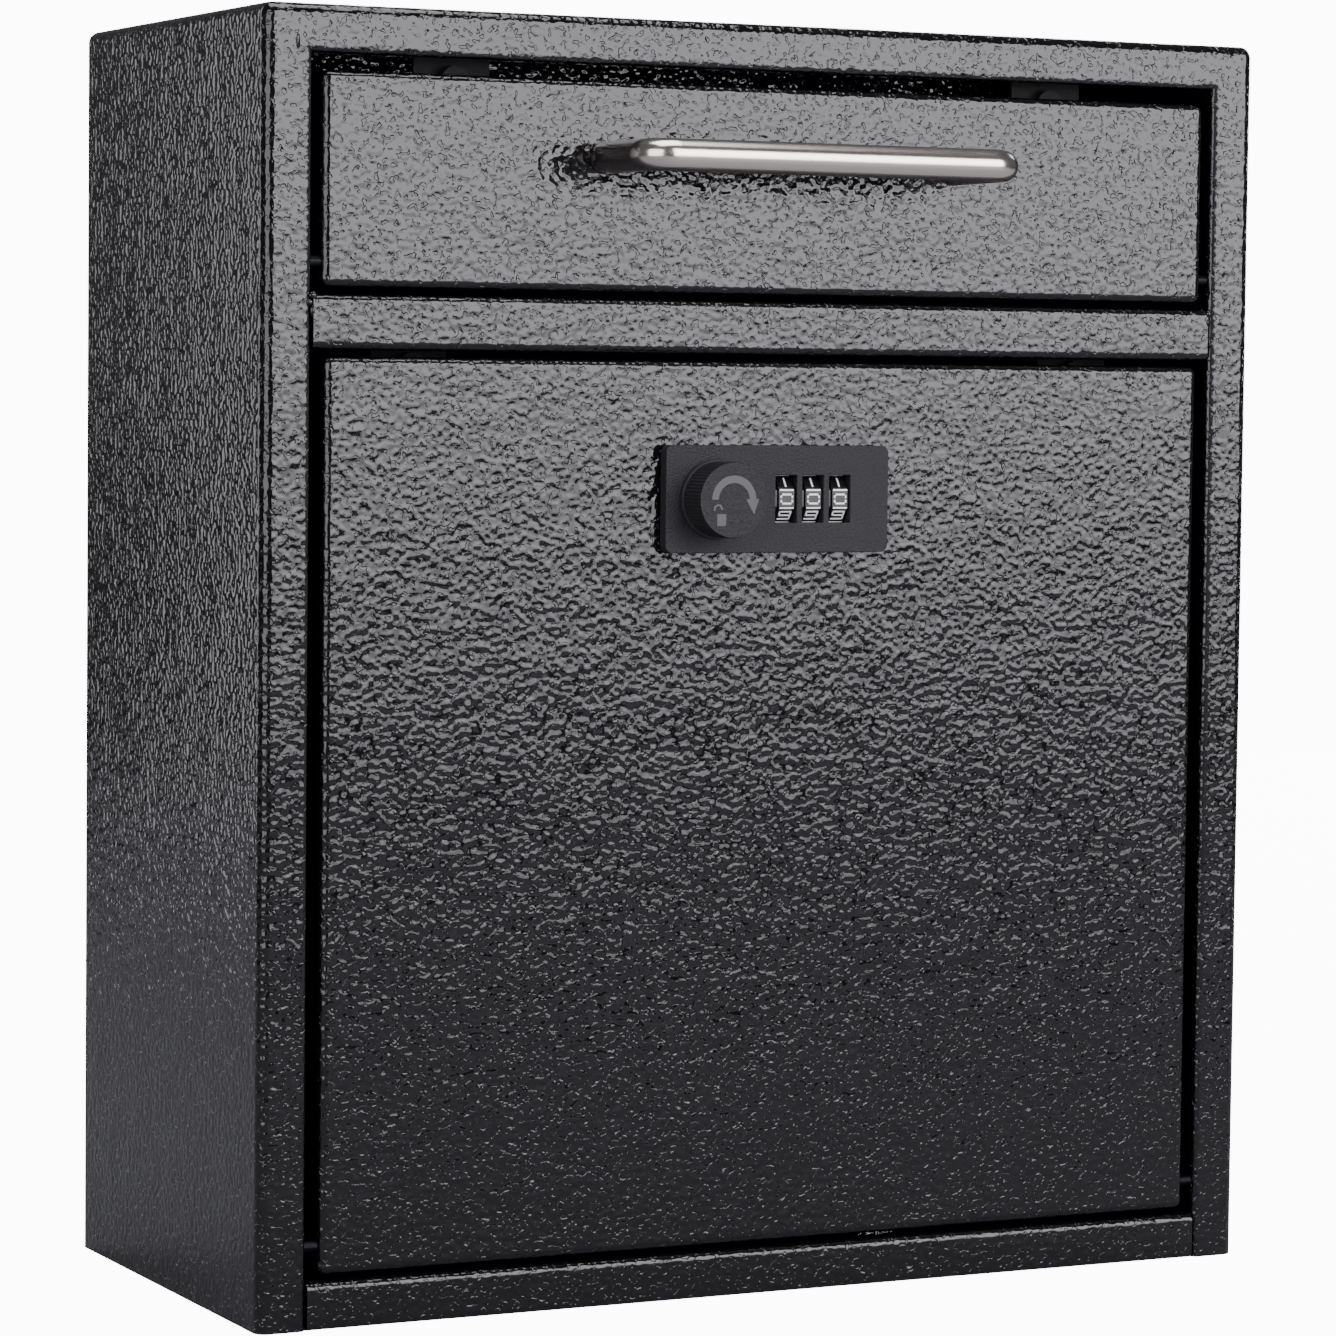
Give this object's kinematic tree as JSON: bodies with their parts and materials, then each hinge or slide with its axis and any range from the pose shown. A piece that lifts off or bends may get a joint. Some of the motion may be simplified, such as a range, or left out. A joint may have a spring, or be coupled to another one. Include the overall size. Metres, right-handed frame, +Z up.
{
  "type": "parcel drop box",
  "caption": "Steel parcel drop box with a tilting drop flap, pull handle and a lower retrieval door on a combination cam lock.",
  "frame": {"origin": "centre of the whole part's footprint on the base plane, handle included", "axes": "+Z up, the front with both doors faces -Y, the wall side faces +Y, +X to the right as seen from the front"},
  "size_m": [0.33, 0.191, 0.38],
  "materials": {
    "powder_coat": "gloss black hammered powder coat on steel",
    "zinc_plate": "zinc plated steel",
    "black_oxide": "black oxide on steel pins and clips",
    "stainless": "satin brushed stainless steel",
    "lock_plastic": "fine grained black moulding",
    "wheel_plastic": "smooth black moulding with white numbers",
    "spring_steel": "bright spring steel",
    "rubber": "matt black rubber"
  },
  "bodies": {
    "cabinet": {"cabinet_wrap": "powder_coat", "bottom_pan": "powder_coat", "back_plate": "powder_coat", "cross_rail": "powder_coat", "flap_bracket_left": "powder_coat", "flap_bracket_right": "powder_coat", "door_bracket_left": "powder_coat", "door_bracket_right": "powder_coat", "chute_baffle": "powder_coat", "flap_stop_left": "powder_coat", "flap_stop_right": "powder_coat", "flap_bumper_left": "rubber", "flap_bumper_right": "rubber", "door_stop_left": "powder_coat", "door_stop_right": "powder_coat", "door_bumper_left": "rubber", "door_bumper_right": "rubber", "cam_keeper": "powder_coat"},
    "flap": {"flap_panel": "powder_coat", "flap_tray": "powder_coat", "flap_cheek_left": "powder_coat", "flap_cheek_right": "powder_coat", "pull_handle": "stainless", "handle_washer_left": "zinc_plate", "handle_washer_right": "zinc_plate", "handle_screw_left": "zinc_plate", "handle_screw_right": "zinc_plate", "flap_pin_left": "black_oxide", "flap_pin_right": "black_oxide", "flap_pin_clip_left": "black_oxide", "flap_pin_clip_right": "black_oxide"},
    "door": {"door_panel": "powder_coat", "door_stiffener_left": "powder_coat", "door_stiffener_right": "powder_coat", "door_pin_left": "black_oxide", "door_pin_right": "black_oxide", "door_pin_clip_left": "black_oxide", "door_pin_clip_right": "black_oxide", "lock_faceplate": "lock_plastic", "lock_housing": "zinc_plate", "lock_clamp": "zinc_plate", "clamp_screw_left": "zinc_plate", "clamp_screw_right": "zinc_plate", "wheel_axle": "spring_steel", "wheel_detent": "spring_steel"},
    "knob": {"lock_knob": "lock_plastic", "lock_spindle": "zinc_plate", "lock_cam": "zinc_plate", "cam_washer": "zinc_plate", "cam_screw": "zinc_plate"},
    "wheel_1": {"number_wheel_1": "wheel_plastic"},
    "wheel_2": {"number_wheel_2": "wheel_plastic"},
    "wheel_3": {"number_wheel_3": "wheel_plastic"}
  },
  "joints": [
    {"name": "flap_tilt", "type": "hinge", "parent": "cabinet", "child": "flap", "pos_m": [0, -0.0539, 0.307], "axis": [1, 0, 0], "range_deg": [0, 50]},
    {"name": "door_hinge", "type": "hinge", "parent": "cabinet", "child": "door", "pos_m": [0, -0.0539, 0.024], "axis": [1, 0, 0], "range_deg": [0, 90]},
    {"name": "knob_turn", "type": "hinge", "parent": "door", "child": "knob", "pos_m": [-0.0235, -0.0575, 0.2394], "axis": [0, -1, 0], "range_deg": [0, 90]},
    {"name": "wheel_1_spin", "type": "hinge", "parent": "door", "child": "wheel_1", "pos_m": [0.0001, -0.0527, 0.2394], "axis": [1, 0, 0], "continuous": true},
    {"name": "wheel_2_spin", "type": "hinge", "parent": "door", "child": "wheel_2", "pos_m": [0.0091, -0.0527, 0.2394], "axis": [1, 0, 0], "continuous": true},
    {"name": "wheel_3_spin", "type": "hinge", "parent": "door", "child": "wheel_3", "pos_m": [0.0181, -0.0527, 0.2394], "axis": [1, 0, 0], "continuous": true}
  ]
}
